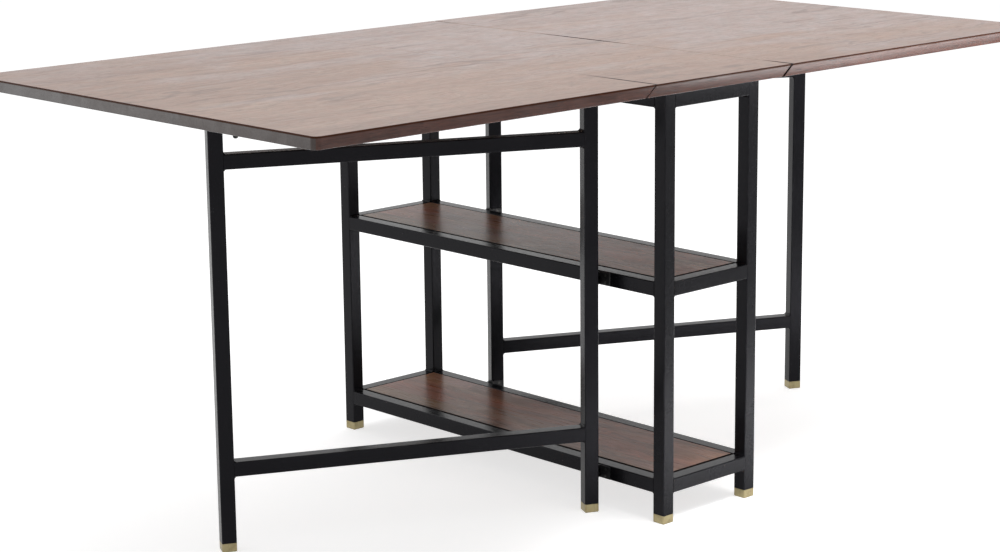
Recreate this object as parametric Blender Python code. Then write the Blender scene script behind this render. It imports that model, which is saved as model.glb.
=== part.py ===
"""Gate-leg table: a narrow steel frame with two shelves, a fixed centre top,
two hinged leaves and two swinging gates that carry the leaves.

Lengths are in metres. X runs along the table, Y across it and Z up, and the
origin is on the floor under the middle of the top. Left is -X and front is -Y.
"""
import math

import bmesh
import bpy
from mathutils import Matrix, Vector

# Whole table
TABLE_HEIGHT = 0.760
TOP_LENGTH = 1.750
TOP_WIDTH = 0.910

# Centre top and leaves: the two seams between them lean the same way
TOP_THICKNESS = 0.020
CENTRE_TOP_LENGTH = 0.330
SEAM_LEAN = 0.025
LEFT_SEAM_GAP = 0.002
RIGHT_SEAM_GAP = 0.0055
TOP_EDGE_ROUND = 0.0015

# Square steel tube
TUBE = 0.025
TUBE_WALL = 0.0015
TUBE_CORNER = 0.002

# Centre frame
LEFT_OVERHANG = 0.0575
RIGHT_OVERHANG = 0.0415
END_OVERHANG = 0.036
TOP_RAIL_DEPTH = 0.030
UPPER_SHELF_HEIGHT = 0.418
LOWER_SHELF_HEIGHT = 0.0765

# Shelves and the ledges that carry them
SHELF_THICKNESS = 0.018
SHELF_SHADOW_GAP = 0.0045
SHELF_EDGE_ROUND = 0.001
LEDGE_WIDTH = 0.012
LEDGE_THICKNESS = 0.003

# Brass feet
FOOT_HEIGHT = 0.015
FOOT_ROUND = 0.002
SPIGOT_LENGTH = 0.020
SPIGOT_CLEARANCE = 0.0002

# Gates, shown swung out under the leaves
GATE_OPENING = math.radians(64.35)
GATE_PIVOT_INSET = 0.1549
GATE_POST_SETBACK = 0.0172
GATE_POST_PITCH = 0.6316
GATE_TOP_RAIL_DROP = 0.078
GATE_BOTTOM_RAIL_HEIGHT = 0.1525

# Gate hinges
GATE_BARREL = 0.014
GATE_PIN = 0.006
GATE_HINGE_PLATE = 0.002
GATE_HINGE_REACH = 0.030
GATE_HINGE_MARGIN = 0.0015
PIN_HEAD_RIM = 0.002
PIN_HEAD_THICKNESS = 0.002
PIN_TAIL = 0.001

# Leaf hinges
LEAF_BARREL = 0.008
LEAF_PIN = 0.004
LEAF_HINGE_PLATE = 0.0018
LEAF_HINGE_LENGTH = 0.050
LEAF_HINGE_REACH = 0.032
LEAF_HINGE_RAIL_CLEARANCE = 0.003
LEAF_HINGE_BEYOND_PIVOT = 0.081
LEAF_HINGE_BEFORE_LEG = 0.125

# Leaf buffers
BUFFER_DIAMETER = 0.0085
BUFFER_LENGTH = 0.0235
BUFFER_TIP_ROUND = 0.0036
BUFFER_END_INSET = 0.075
BUFFER_Y = 0.170

# Clearances
SEAT_GAP = 0.0003
KNUCKLE_GAP = 0.0003
PIN_CLEARANCE = 0.00025

# Facets
CORNER_SEGMENTS = 3
EDGE_SEGMENTS = 2
ROUND_SEGMENTS = 24

# Places worked out from the sizes above
UNDERSIDE = TABLE_HEIGHT - TOP_THICKNESS
STEEL_TOP = UNDERSIDE - SEAT_GAP
TUBE_START = FOOT_HEIGHT + SEAT_GAP
FRAME_X = (CENTRE_TOP_LENGTH - LEFT_OVERHANG - RIGHT_OVERHANG) / 2
FRAME_Y = TOP_WIDTH / 2 - END_OVERHANG
LEG_X = FRAME_X - TUBE / 2
LEG_Y = FRAME_Y - TUBE / 2
GATE_GAP = GATE_BARREL + 2 * SEAT_GAP
GATE_PIVOT_X = FRAME_X + GATE_GAP / 2
GATE_PIVOT_Y = FRAME_Y - GATE_PIVOT_INSET
GATE_POST_OFFSET = GATE_GAP / 2 + TUBE / 2
LEAF_AXIS_Z = STEEL_TOP - LEAF_BARREL / 2
LEFT_SEAM_X = -FRAME_X - LEFT_OVERHANG
RIGHT_SEAM_X = FRAME_X + RIGHT_OVERHANG
LEFT_AXIS_X = LEFT_SEAM_X - SEAM_LEAN - LEFT_SEAM_GAP / 2
RIGHT_AXIS_X = RIGHT_SEAM_X - SEAM_LEAN + RIGHT_SEAM_GAP / 2
SHELVES = (("upper", UPPER_SHELF_HEIGHT), ("lower", LOWER_SHELF_HEIGHT))
SIDES = (("left", 0.0), ("right", math.pi))


def clear_scene():
    for old in list(bpy.data.objects):
        bpy.data.objects.remove(old, do_unlink=True)


def make_material(name, colour, roughness, metallic):
    material = bpy.data.materials.new(name)
    material.use_nodes = True
    shader = material.node_tree.nodes["Principled BSDF"]
    shader.inputs["Base Color"].default_value = (*colour, 1.0)
    shader.inputs["Roughness"].default_value = roughness
    shader.inputs["Metallic"].default_value = metallic
    return material


def add_empty(name, location, turn=0.0):
    empty = bpy.data.objects.new(name, None)
    empty.location = location
    empty.rotation_euler.z = turn
    bpy.context.scene.collection.objects.link(empty)
    return empty


def add_object(name, mesh, material, location=(0, 0, 0), rotation=(0, 0, 0), parent=None):
    """A named piece, placed in the world or under the empty on its joint axis."""
    piece = bpy.data.objects.new(name, mesh)
    bpy.context.scene.collection.objects.link(piece)
    if not mesh.materials:
        mesh.materials.append(material)
    piece.location = location
    piece.rotation_euler = rotation
    piece.parent = parent
    return piece


def finish_mesh(name, bm):
    bmesh.ops.recalc_face_normals(bm, faces=bm.faces)
    mesh = bpy.data.meshes.new(name)
    bm.to_mesh(mesh)
    bm.free()
    return mesh


def block(size, centre=(0, 0, 0)):
    """A bmesh cube scaled to size and moved to its centre."""
    bm = bmesh.new()
    bmesh.ops.create_cube(bm, size=1.0)
    bmesh.ops.scale(bm, vec=size, verts=bm.verts)
    bmesh.ops.translate(bm, vec=centre, verts=bm.verts)
    return bm


def edges_along(bm, axis):
    return [e for e in bm.edges if abs((e.verts[1].co - e.verts[0].co).normalized()[axis]) > 0.99]


def round_edges(bm, edges, radius, segments):
    bmesh.ops.bevel(bm, geom=edges, offset=radius, segments=segments, profile=0.5,
                    affect="EDGES", clamp_overlap=True)


def turned_prism(bm, outline, bottom, top):
    """Extrude a closed outline in XY from one height to another."""
    face = bm.faces.new([bm.verts.new((x, y, bottom)) for x, y in outline])
    swept = bmesh.ops.extrude_face_region(bm, geom=[face])["geom"]
    risen = [v for v in swept if isinstance(v, bmesh.types.BMVert)]
    bmesh.ops.translate(bm, vec=(0, 0, top - bottom), verts=risen)


def circle(radius):
    steps = [2 * math.pi * i / ROUND_SEGMENTS for i in range(ROUND_SEGMENTS)]
    return [(radius * math.cos(a), radius * math.sin(a)) for a in steps]


def fuse(base, others, operation="UNION"):
    """Bake a Boolean of the base with each of the other pieces, which are used up."""
    for other in others:
        step = base.modifiers.new("step", "BOOLEAN")
        step.operation = operation
        step.solver = "EXACT"
        step.object = other
    evaluated = base.evaluated_get(bpy.context.evaluated_depsgraph_get())
    name = base.data.name
    baked = bpy.data.meshes.new_from_object(evaluated)
    base.modifiers.clear()
    base.data = baked
    baked.name = name
    for other in others:
        bpy.data.objects.remove(other, do_unlink=True)


def add_tube(name, length, depth, material, location, rotation=(0, 0, 0), parent=None, capped=False):
    """Square tube along local X, TUBE wide and depth high, with a welded cap at +X if capped."""
    bm = block((length, TUBE, depth))
    round_edges(bm, edges_along(bm, 0), TUBE_CORNER, CORNER_SEGMENTS)
    ends = [f for f in bm.faces if abs(f.normal.x) > 0.9]
    if capped:
        ends = [f for f in ends if f.calc_center_median().x < 0]
    bmesh.ops.delete(bm, geom=ends, context="FACES_ONLY")
    tube = add_object(name, finish_mesh(name, bm), material, location, rotation, parent)
    wall = tube.modifiers.new("wall", "SOLIDIFY")
    wall.thickness = TUBE_WALL
    wall.offset = -1.0
    wall.use_even_offset = True
    return tube


def add_upright(name, x, y, material, parent=None, capped=False):
    """A tube that stands on its foot and reaches the underside of the top."""
    length = STEEL_TOP - TUBE_START
    place = (x, y, TUBE_START + length / 2)
    return add_tube(name, length, TUBE, material, place, (0, -math.pi / 2, 0), parent, capped)


def foot_mesh():
    """Brass cap with a rounded sole and a spigot that plugs into the tube."""
    bm = block((TUBE, TUBE, FOOT_HEIGHT), (0, 0, FOOT_HEIGHT / 2))
    round_edges(bm, edges_along(bm, 2), TUBE_CORNER, CORNER_SEGMENTS)
    sole = min(bm.faces, key=lambda f: f.calc_center_median().z)
    round_edges(bm, list(sole.edges), FOOT_ROUND, EDGE_SEGMENTS)
    crown = max(bm.faces, key=lambda f: f.calc_center_median().z)
    bmesh.ops.inset_region(bm, faces=[crown], thickness=TUBE_WALL + SPIGOT_CLEARANCE,
                           use_even_offset=True)
    swept = bmesh.ops.extrude_face_region(bm, geom=[crown])["geom"]
    risen = [v for v in swept if isinstance(v, bmesh.types.BMVert)]
    bmesh.ops.translate(bm, vec=(0, 0, SPIGOT_LENGTH), verts=risen)
    bmesh.ops.delete(bm, geom=[crown], context="FACES_ONLY")
    return finish_mesh("foot", bm)


def add_rail_ring(prefix, top, depth, material):
    """Four rails between the legs, with their top faces at one height."""
    length_y = 2 * (FRAME_Y - TUBE - SEAT_GAP)
    length_x = 2 * (FRAME_X - TUBE - SEAT_GAP)
    z = top - depth / 2
    quarter = (0, 0, math.pi / 2)
    rails = {}
    for side, x in (("left", -LEG_X), ("right", LEG_X)):
        rails[side] = add_tube(f"{prefix}_rail_{side}", length_y, depth, material, (x, 0, z), quarter)
    for side, y in (("front", -LEG_Y), ("back", LEG_Y)):
        rails[side] = add_tube(f"{prefix}_rail_{side}", length_x, depth, material, (0, y, z))
    return rails


def weld_ledge(rail, inward, shelf_top):
    """Flat bar along the inner face of a long rail, under the shelf board."""
    bite = TUBE_WALL / 2
    length = 2 * (FRAME_Y - TUBE - SEAT_GAP)
    top = shelf_top - SHELF_THICKNESS - SEAT_GAP
    centre_x = inward * (TUBE / 2 + (LEDGE_WIDTH - bite) / 2)
    centre = (rail.location.x + centre_x, 0, top - LEDGE_THICKNESS / 2)
    bm = block((LEDGE_WIDTH + bite, length, LEDGE_THICKNESS), centre)
    ledge = add_object("ledge", finish_mesh("ledge", bm), rail.data.materials[0])
    fuse(rail, [ledge])


def add_shelf(name, top, material):
    half_x = FRAME_X - TUBE - SHELF_SHADOW_GAP
    half_y = FRAME_Y - TUBE - SHELF_SHADOW_GAP
    size = (2 * half_x, 2 * half_y, SHELF_THICKNESS)
    bm = block(size, (0, 0, top - SHELF_THICKNESS / 2))
    round_edges(bm, list(bm.edges), SHELF_EDGE_ROUND, EDGE_SEGMENTS)
    return add_object(name, finish_mesh(name, bm), material)


def board_mesh(name, section, seams, origin):
    """Board across the table from its four-point XZ section; edges on a seam stay sharp."""
    bm = bmesh.new()
    front = bm.faces.new([bm.verts.new((x, -TOP_WIDTH / 2, z)) for x, z in section])
    swept = bmesh.ops.extrude_face_region(bm, geom=[front])["geom"]
    back = [v for v in swept if isinstance(v, bmesh.types.BMVert)]
    bmesh.ops.translate(bm, vec=(0, TOP_WIDTH, 0), verts=back)
    bmesh.ops.recalc_face_normals(bm, faces=bm.faces)

    def seam_of(vert):
        for index, seam in enumerate(seams):
            if any(abs(vert.co.x - x) + abs(vert.co.z - z) < SEAT_GAP for x, z in seam):
                return index
        return None

    outer = [e for e in bm.edges
             if seam_of(e.verts[0]) is None or seam_of(e.verts[0]) != seam_of(e.verts[1])]
    round_edges(bm, outer, TOP_EDGE_ROUND, EDGE_SEGMENTS)
    bmesh.ops.translate(bm, vec=-Vector(origin), verts=bm.verts)
    return finish_mesh(name, bm)


def seam_line(x):
    """Top and bottom points of a leaning seam that meets the top face at x."""
    return [(x, TABLE_HEIGHT), (x - SEAM_LEAN, UNDERSIDE)]


def knuckle_outline(radius, plate, reach):
    """Round knuckle that runs out into a plate on its +Y side, towards +X."""
    inner = math.asin((radius - plate) / radius)
    count = ROUND_SEGMENTS
    sweep = 2 * math.pi - math.pi / 2 + inner
    arc = [math.pi / 2 + sweep * i / count for i in range(count + 1)]
    points = [(radius * math.cos(a), radius * math.sin(a)) for a in arc]
    return points + [(reach, radius - plate), (reach, radius)]


def add_hinge_half(name, material, barrel, pin, plate, reach, length, outer, pinned):
    """Hinge half with its barrel along Z: two outer knuckles, or the middle one between them.

    A pinned half carries the hinge pin in one piece; the others are bored for it.
    """
    radius = barrel / 2
    start = radius + KNUCKLE_GAP
    third = length / 3
    if outer:
        spans = [(-length / 2, -third / 2), (third / 2, length / 2)]
    else:
        spans = [(-third / 2 + KNUCKLE_GAP, third / 2 - KNUCKLE_GAP)]
    bm = block((reach - start, plate, length), ((start + reach) / 2, radius - plate / 2, 0))
    half = add_object(name, finish_mesh(name, bm), material)
    knuckles = []
    for bottom, top in spans:
        bm = bmesh.new()
        turned_prism(bm, knuckle_outline(radius, plate, start + plate), bottom, top)
        knuckles.append(add_object("knuckle", finish_mesh("knuckle", bm), material))
    bm = bmesh.new()
    if pinned:
        turned_prism(bm, circle(pin / 2), -third / 2 - plate, third / 2 + plate)
    else:
        turned_prism(bm, circle(pin / 2 + PIN_CLEARANCE), -length, length)
    core = add_object("core", finish_mesh("core", bm), material)
    if pinned:
        fuse(half, knuckles + [core])
    else:
        fuse(half, knuckles)
        fuse(half, [core], "DIFFERENCE")
    return half


def add_copy(name, source, location, rotation, parent=None):
    return add_object(name, source.data, None, location, rotation, parent)


def pin_mesh(length):
    """Headed hinge pin, with its middle at the origin."""
    bm = bmesh.new()
    tail = -length / 2 - PIN_TAIL
    seat = length / 2 + KNUCKLE_GAP
    shank = GATE_PIN / 2
    head = shank + PIN_HEAD_RIM
    turned_prism(bm, circle(shank), tail, seat)
    crown = max(bm.faces, key=lambda f: f.calc_center_median().z)
    rim = bmesh.ops.extrude_face_region(bm, geom=[crown])["geom"]
    bmesh.ops.delete(bm, geom=[crown], context="FACES_ONLY")
    ring = [v for v in rim if isinstance(v, bmesh.types.BMVert)]
    bmesh.ops.scale(bm, vec=(head / shank, head / shank, 1), verts=ring)
    crown = next(f for f in rim if isinstance(f, bmesh.types.BMFace))
    rim = bmesh.ops.extrude_face_region(bm, geom=[crown])["geom"]
    bmesh.ops.delete(bm, geom=[crown], context="FACES_ONLY")
    ring = [v for v in rim if isinstance(v, bmesh.types.BMVert)]
    bmesh.ops.translate(bm, vec=(0, 0, PIN_HEAD_THICKNESS), verts=ring)
    return finish_mesh("gate_hinge_pin", bm)


def buffer_mesh():
    """Peg that hangs from the leaf, with a rounded tip."""
    bm = bmesh.new()
    turned_prism(bm, circle(BUFFER_DIAMETER / 2), -BUFFER_LENGTH, 0)
    tip = min(bm.faces, key=lambda f: f.calc_center_median().z)
    round_edges(bm, list(tip.edges), BUFFER_TIP_ROUND, CORNER_SEGMENTS)
    return finish_mesh("leaf_buffer", bm)


clear_scene()
top_wood = make_material("top_wood", (0.150, 0.088, 0.064), 0.40, 0.0)
shelf_wood = make_material("shelf_wood", (0.165, 0.075, 0.048), 0.35, 0.0)
black_steel = make_material("black_steel", (0.014, 0.014, 0.015), 0.45, 0.0)
hinge_steel = make_material("hinge_steel", (0.018, 0.018, 0.019), 0.40, 0.6)
brass = make_material("brass", (0.560, 0.400, 0.170), 0.30, 1.0)
rubber = make_material("rubber", (0.012, 0.012, 0.012), 0.75, 0.0)

# Centre frame: four legs on brass feet, tied by three rings of rails
foot = foot_mesh()
for end, y in (("front", -LEG_Y), ("back", LEG_Y)):
    for side, x in (("left", -LEG_X), ("right", LEG_X)):
        add_upright(f"leg_{side}_{end}", x, y, black_steel)
        add_object(f"foot_{side}_{end}", foot, brass, (x, y, 0))
add_rail_ring("top", STEEL_TOP, TOP_RAIL_DEPTH, black_steel)

# Shelves: boards let into their rails and carried by ledges on the long ones
for level, height in SHELVES:
    rails = add_rail_ring(f"{level}_shelf", height, TUBE, black_steel)
    weld_ledge(rails["left"], 1, height)
    weld_ledge(rails["right"], -1, height)
    add_shelf(f"{level}_shelf", height, shelf_wood)

# Centre top, cut along both leaning seams
left_seam = seam_line(LEFT_SEAM_X)
right_seam = seam_line(RIGHT_SEAM_X)
section = [left_seam[1], right_seam[1], right_seam[0], left_seam[0]]
add_object("centre_top", board_mesh("centre_top", section, [left_seam, right_seam], (0, 0, 0)), top_wood)

# Leaves, each hung on the axis of its own hinges
left_axis = add_empty("left_leaf_axis", (LEFT_AXIS_X, 0, LEAF_AXIS_Z))
seam = seam_line(LEFT_SEAM_X - LEFT_SEAM_GAP)
section = [(-TOP_LENGTH / 2, UNDERSIDE), seam[1], seam[0], (-TOP_LENGTH / 2, TABLE_HEIGHT)]
board = board_mesh("left_leaf", section, [seam], left_axis.location)
add_object("left_leaf", board, top_wood, parent=left_axis)

right_axis = add_empty("right_leaf_axis", (RIGHT_AXIS_X, 0, LEAF_AXIS_Z))
seam = seam_line(RIGHT_SEAM_X + RIGHT_SEAM_GAP)
section = [seam[1], (TOP_LENGTH / 2, UNDERSIDE), (TOP_LENGTH / 2, TABLE_HEIGHT), seam[0]]
board = board_mesh("right_leaf", section, [seam], right_axis.location)
add_object("right_leaf", board, top_wood, parent=right_axis)

# Leaf hinges: the half under the centre top carries the pin, and is short enough to clear the right rail
near_hinge_y = -GATE_PIVOT_Y - LEAF_HINGE_BEYOND_PIVOT
far_hinge_y = GATE_POST_SETBACK + GATE_POST_PITCH - GATE_PIVOT_Y - LEAF_HINGE_BEFORE_LEG
fixed_reach = RIGHT_AXIS_X - FRAME_X - LEAF_HINGE_RAIL_CLEARANCE
fixed_half = add_hinge_half("fixed_half", hinge_steel, LEAF_BARREL, LEAF_PIN, LEAF_HINGE_PLATE,
                            fixed_reach, LEAF_HINGE_LENGTH, outer=True, pinned=True)
leaf_half = add_hinge_half("leaf_half", hinge_steel, LEAF_BARREL, LEAF_PIN, LEAF_HINGE_PLATE,
                           LEAF_HINGE_REACH, LEAF_HINGE_LENGTH, outer=False, pinned=False)
buffer = buffer_mesh()
for (side, turn), axis in zip(SIDES, (left_axis, right_axis)):
    facing = 1 if side == "left" else -1
    for place, y in (("pivot", near_hinge_y), ("leg", far_hinge_y)):
        name = f"{side}_leaf_hinge_{place}_end"
        point = axis.location + Vector((0, facing * y, 0))
        add_copy(f"{name}_fixed_half", fixed_half, point, (math.pi / 2, 0, turn))
        add_copy(f"{name}_leaf_half", leaf_half, (0, facing * y, 0),
                 (math.pi / 2, 0, turn + math.pi), axis)
    point = Vector((-facing * (TOP_LENGTH / 2 - BUFFER_END_INSET), -facing * BUFFER_Y, STEEL_TOP))
    add_object(f"{side}_leaf_buffer", buffer, rubber, point - axis.location, parent=axis)
bpy.data.objects.remove(fixed_half)
bpy.data.objects.remove(leaf_half)

# Gates: post, outer leg and two rails in one plane, on hinges at both shelf rails
hinge_length = TUBE - 2 * GATE_HINGE_MARGIN
gate_reach = GATE_POST_SETBACK + TUBE / 2 - TUBE_CORNER
frame_half = add_hinge_half("frame_half", hinge_steel, GATE_BARREL, GATE_PIN, GATE_HINGE_PLATE,
                            GATE_HINGE_REACH, hinge_length, outer=True, pinned=False)
gate_half = add_hinge_half("gate_half", hinge_steel, GATE_BARREL, GATE_PIN, GATE_HINGE_PLATE,
                           gate_reach, hinge_length, outer=False, pinned=False)
pin = pin_mesh(hinge_length)
outer_x = GATE_POST_SETBACK + GATE_POST_PITCH
rail_length = GATE_POST_PITCH - TUBE - 2 * SEAT_GAP
rail_x = GATE_POST_SETBACK + GATE_POST_PITCH / 2
gate_rails = (("top", UNDERSIDE - GATE_TOP_RAIL_DROP), ("bottom", GATE_BOTTOM_RAIL_HEIGHT))
for side, turn in SIDES:
    pivot = Matrix.Rotation(turn, 3, "Z") @ Vector((-GATE_PIVOT_X, -GATE_PIVOT_Y, 0))
    gate = add_empty(f"{side}_gate_axis", pivot, turn + math.pi / 2 + GATE_OPENING)
    for name, x in (("hinge_post", GATE_POST_SETBACK), ("outer_leg", outer_x)):
        add_upright(f"{side}_gate_{name}", x, GATE_POST_OFFSET, black_steel, gate, capped=True)
        add_object(f"{side}_gate_{name}_foot", foot, brass, (x, GATE_POST_OFFSET, 0), parent=gate)
    for name, top in gate_rails:
        place = (rail_x, GATE_POST_OFFSET, top - TUBE / 2)
        add_tube(f"{side}_gate_{name}_rail", rail_length, TUBE, black_steel, place, parent=gate)
    for level, height in SHELVES:
        name = f"{side}_gate_{level}_hinge"
        lift = Vector((0, 0, height - TUBE / 2))
        add_copy(f"{name}_frame_half", frame_half, pivot + lift, (0, 0, turn - math.pi / 2))
        add_copy(f"{name}_gate_half", gate_half, lift, (0, 0, 0), gate)
        add_object(f"{name}_pin", pin, hinge_steel, pivot + lift)
bpy.data.objects.remove(frame_half)
bpy.data.objects.remove(gate_half)
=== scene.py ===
import math

import bmesh
import bpy
from mathutils import Matrix, Vector


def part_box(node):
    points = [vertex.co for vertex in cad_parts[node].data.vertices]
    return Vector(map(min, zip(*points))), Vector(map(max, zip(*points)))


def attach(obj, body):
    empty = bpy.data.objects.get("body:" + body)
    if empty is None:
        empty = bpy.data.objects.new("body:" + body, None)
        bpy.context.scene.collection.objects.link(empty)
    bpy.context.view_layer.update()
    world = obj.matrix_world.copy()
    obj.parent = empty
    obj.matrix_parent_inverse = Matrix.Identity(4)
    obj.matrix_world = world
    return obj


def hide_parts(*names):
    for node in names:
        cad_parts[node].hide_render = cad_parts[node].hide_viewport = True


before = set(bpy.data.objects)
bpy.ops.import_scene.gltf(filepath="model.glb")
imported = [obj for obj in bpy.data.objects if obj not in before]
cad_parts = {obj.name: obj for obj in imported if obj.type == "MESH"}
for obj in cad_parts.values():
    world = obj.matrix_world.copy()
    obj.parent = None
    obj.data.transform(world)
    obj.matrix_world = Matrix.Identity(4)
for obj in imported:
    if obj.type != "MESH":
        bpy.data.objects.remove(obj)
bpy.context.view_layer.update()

# Legs of the centre frame: four uprights of 25 mm square steel tube with softly rolled corners.
# They are sawn square, capped by brass feet below and powder-coated satin black after welding.
TUBE = 0.025
TUBE_CORNER = 0.002
CREASE = math.radians(40)
TO_RIGHT = Vector((1, 0, 0))
UP = Vector((0, 0, 1))
COAT_BLACK = (0.0042, 0.0042, 0.0052, 1)
COAT_PATCH = (0.0070, 0.0070, 0.0084, 1)
COAT_RUBBED = (0.034, 0.034, 0.037, 1)
COAT_SCUFF = (0.060, 0.060, 0.062, 1)
COAT_GLINT = (0.92, 0.90, 1.0, 1.0)
LEG_PLACES = [(x, y) for x in ("left", "right") for y in ("front", "back")]


def add_node(tree, kind, feeds=None, **settings):
    """Adds a node; feeds gives an input, by name or number, a value or another node's output."""
    node = tree.nodes.new(kind)
    for name, value in settings.items():
        setattr(node, name, value)
    for name, value in (feeds or {}).items():
        socket = node.inputs[name]
        if isinstance(value, bpy.types.NodeSocket):
            tree.links.new(value, socket)
        else:
            socket.default_value = value
    return node


def sum_of(tree, how, first, second=0.0):
    """One step of arithmetic on a value or output, and on a second one if the step takes two."""
    return add_node(tree, "ShaderNodeMath", {0: first, 1: second}, operation=how).outputs[0]


def speckle(tree, place, scale, detail=2.0, roughness=0.5, twist=0.0):
    """A cloud of soft random spots, as large as one part in scale of a metre."""
    feeds = {"Vector": place, "Scale": scale, "Detail": detail, "Roughness": roughness,
             "Distortion": twist}
    return add_node(tree, "ShaderNodeTexNoise", feeds).outputs["Fac"]


def between(tree, value, low, high, start, end):
    """Turns a value running from low to high into one running from start to end, and stops there."""
    feeds = {"Value": value, "From Min": low, "From Max": high, "To Min": start, "To Max": end}
    return add_node(tree, "ShaderNodeMapRange", feeds).outputs["Result"]


def tint(tree, share, first, second, how="MIX"):
    """Lays the second colour over the first by a share from 0 to 1."""
    feeds = {0: share, 6: first, 7: second}
    return add_node(tree, "ShaderNodeMix", feeds, data_type="RGBA", blend_type=how).outputs[2]


def cloudy(tree, cloud, first, second):
    """Runs from the first colour to the second over the middle of a cloud."""
    return tint(tree, between(tree, cloud, 0.3, 0.7, 0.0, 1.0), first, second)


def new_finish(name):
    """An empty finish: its tree, its shader and the place of each point on the piece."""
    finish = bpy.data.materials.new(name)
    finish.use_nodes = True
    tree = finish.node_tree
    shader = tree.nodes["Principled BSDF"]
    place = add_node(tree, "ShaderNodeTexCoord").outputs["Object"]
    return finish, tree, shader, place


def lay_finish(tree, shader, colour, roughness, relief, strength, depth):
    """Gives a shader its colour, its roughness and a fine relief of some strength and depth."""
    bump = add_node(tree, "ShaderNodeBump", {"Strength": strength, "Distance": depth, "Height": relief})
    tree.links.new(colour, shader.inputs["Base Color"])
    tree.links.new(roughness, shader.inputs["Roughness"])
    tree.links.new(bump.outputs["Normal"], shader.inputs["Normal"])


def arris_of(tree):
    """1 along the eased edges of a piece and 0 on its flats, as its mesh says."""
    return add_node(tree, "ShaderNodeAttribute", attribute_name="arris").outputs["Fac"]


def powder_coat():
    """Satin black powder: fine orange peel, patches of gloss, edges rubbed greyer, a few dull marks."""
    finish, tree, shader, place = new_finish("satin_black_powder_coat")
    peel = speckle(tree, place, 900.0, 2.0)
    flow = speckle(tree, place, 160.0, 1.0)
    handled = speckle(tree, place, 14.0, 4.0, 0.6)
    rubbed = sum_of(tree, "MULTIPLY", arris_of(tree), between(tree, handled, 0.45, 0.7, 0.10, 0.6))
    colour = tint(tree, rubbed, cloudy(tree, handled, COAT_BLACK, COAT_PATCH), COAT_RUBBED)
    marks = between(tree, speckle(tree, place, 75.0, 3.0, 0.65), 0.71, 0.76, 0.0, 0.5)
    knocked = between(tree, speckle(tree, place, 5.0, 1.0), 0.52, 0.62, 0.0, 1.0)
    colour = tint(tree, sum_of(tree, "MULTIPLY", marks, knocked), colour, COAT_SCUFF)
    satin = between(tree, flow, 0.3, 0.7, 0.19, 0.27)
    relief = sum_of(tree, "ADD", sum_of(tree, "MULTIPLY", peel, 0.4), flow)
    lay_finish(tree, shader, colour, satin, relief, 0.10, 0.0006)
    shader.inputs["Specular IOR Level"].default_value = 0.12
    shader.inputs["Specular Tint"].default_value = COAT_GLINT
    return finish


def new_shape():
    """An empty mesh that can remember which of its points lie on an eased edge."""
    bm = bmesh.new()
    bm.verts.layers.float.new("arris")
    return bm


def upright_edges(edges):
    """Those of some edges that rise from one level to another."""
    return [e for e in edges if abs(e.verts[0].co.z - e.verts[1].co.z) > 1e-6]


def ease_edges(bm, edges, ease, steps=4, clamp=True):
    """Rounds off some edges in a few steps, and tells which faces that made."""
    made = bmesh.ops.bevel(bm, geom=list(edges), offset=ease, offset_type="OFFSET", segments=steps,
                           profile=0.5, affect="EDGES", clamp_overlap=clamp)
    return set(made["faces"])


def mark_arris(bm, verts, eased, along=None):
    """Marks the points that lie inside an eased edge, so that a finish can find the edges."""
    layer = bm.verts.layers.float["arris"]
    for vert in verts:
        flats = [f for f in vert.link_faces if f not in eased]
        if along is not None:
            flats = [f for f in flats if abs(f.normal.dot(along)) < 0.5]
        vert[layer] = 0.0 if flats else 1.0


def add_bar(bm, start, end, side, width, depth, corner):
    """A straight bar from start to end, width wide along side, with its long edges rolled."""
    along = (end - start).normalized()
    across = along.cross(side)
    size = Matrix.Diagonal((width, depth, (end - start).length, 1.0))
    verts = bmesh.ops.create_cube(bm, size=1.0, matrix=size)["verts"]
    rolled = ease_edges(bm, upright_edges({e for v in verts for e in v.link_edges}), corner)
    bar = {v for f in rolled for v in f.verts}
    mark_arris(bm, bar, rolled, along=UP)
    turn = Matrix((side, across, along)).transposed().to_4x4()
    bmesh.ops.transform(bm, matrix=Matrix.Translation((start + end) / 2) @ turn, verts=list(bar))


def settle(piece, body, slot, *nodes):
    """Bakes a piece's modifiers into a plain mesh, then hangs it on its body."""
    shaped = piece.evaluated_get(bpy.context.evaluated_depsgraph_get())
    baked = bpy.data.meshes.new_from_object(shaped)
    baked.name = piece.name
    piece.modifiers.clear()
    piece.data = baked
    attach(piece, body)
    if nodes:
        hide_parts(*nodes)
    return piece


def add_piece(name, bm, finishes, body, slot, *nodes):
    """Turns a finished mesh into a smooth-shaded piece that rides on a body in place of its solids."""
    mesh = bpy.data.meshes.new(name)
    bm.to_mesh(mesh)
    bm.free()
    for finish in finishes:
        mesh.materials.append(finish)
    mesh.shade_smooth()
    mesh.set_sharp_from_angle(angle=CREASE)
    piece = bpy.data.objects.new(name, mesh)
    bpy.context.collection.objects.link(piece)
    even = piece.modifiers.new("even_flats", "WEIGHTED_NORMAL")
    even.keep_sharp = True
    return settle(piece, body, slot, *nodes)


steel = powder_coat()
for x, y in LEG_PLACES:
    low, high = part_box(f"leg_{x}_{y}")
    middle = (low + high) / 2
    foot = Vector((*middle.xy, low.z))
    head = Vector((*middle.xy, high.z))
    bm = new_shape()
    add_bar(bm, foot, head, TO_RIGHT, TUBE, TUBE, TUBE_CORNER)
    add_piece(f"{x}_{y}_leg_tube", bm, [steel], "frame", "black_steel", f"leg_{x}_{y}")

# Rails of the centre frame: a ring of tube under the top, 30 mm deep, and a ring of 25 mm tube at
# each shelf. Every rail is butted between two legs, so it is run half a millimetre into the weld.
WELD_SINK = 0.0005
TO_BACK = Vector((0, 1, 0))


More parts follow.
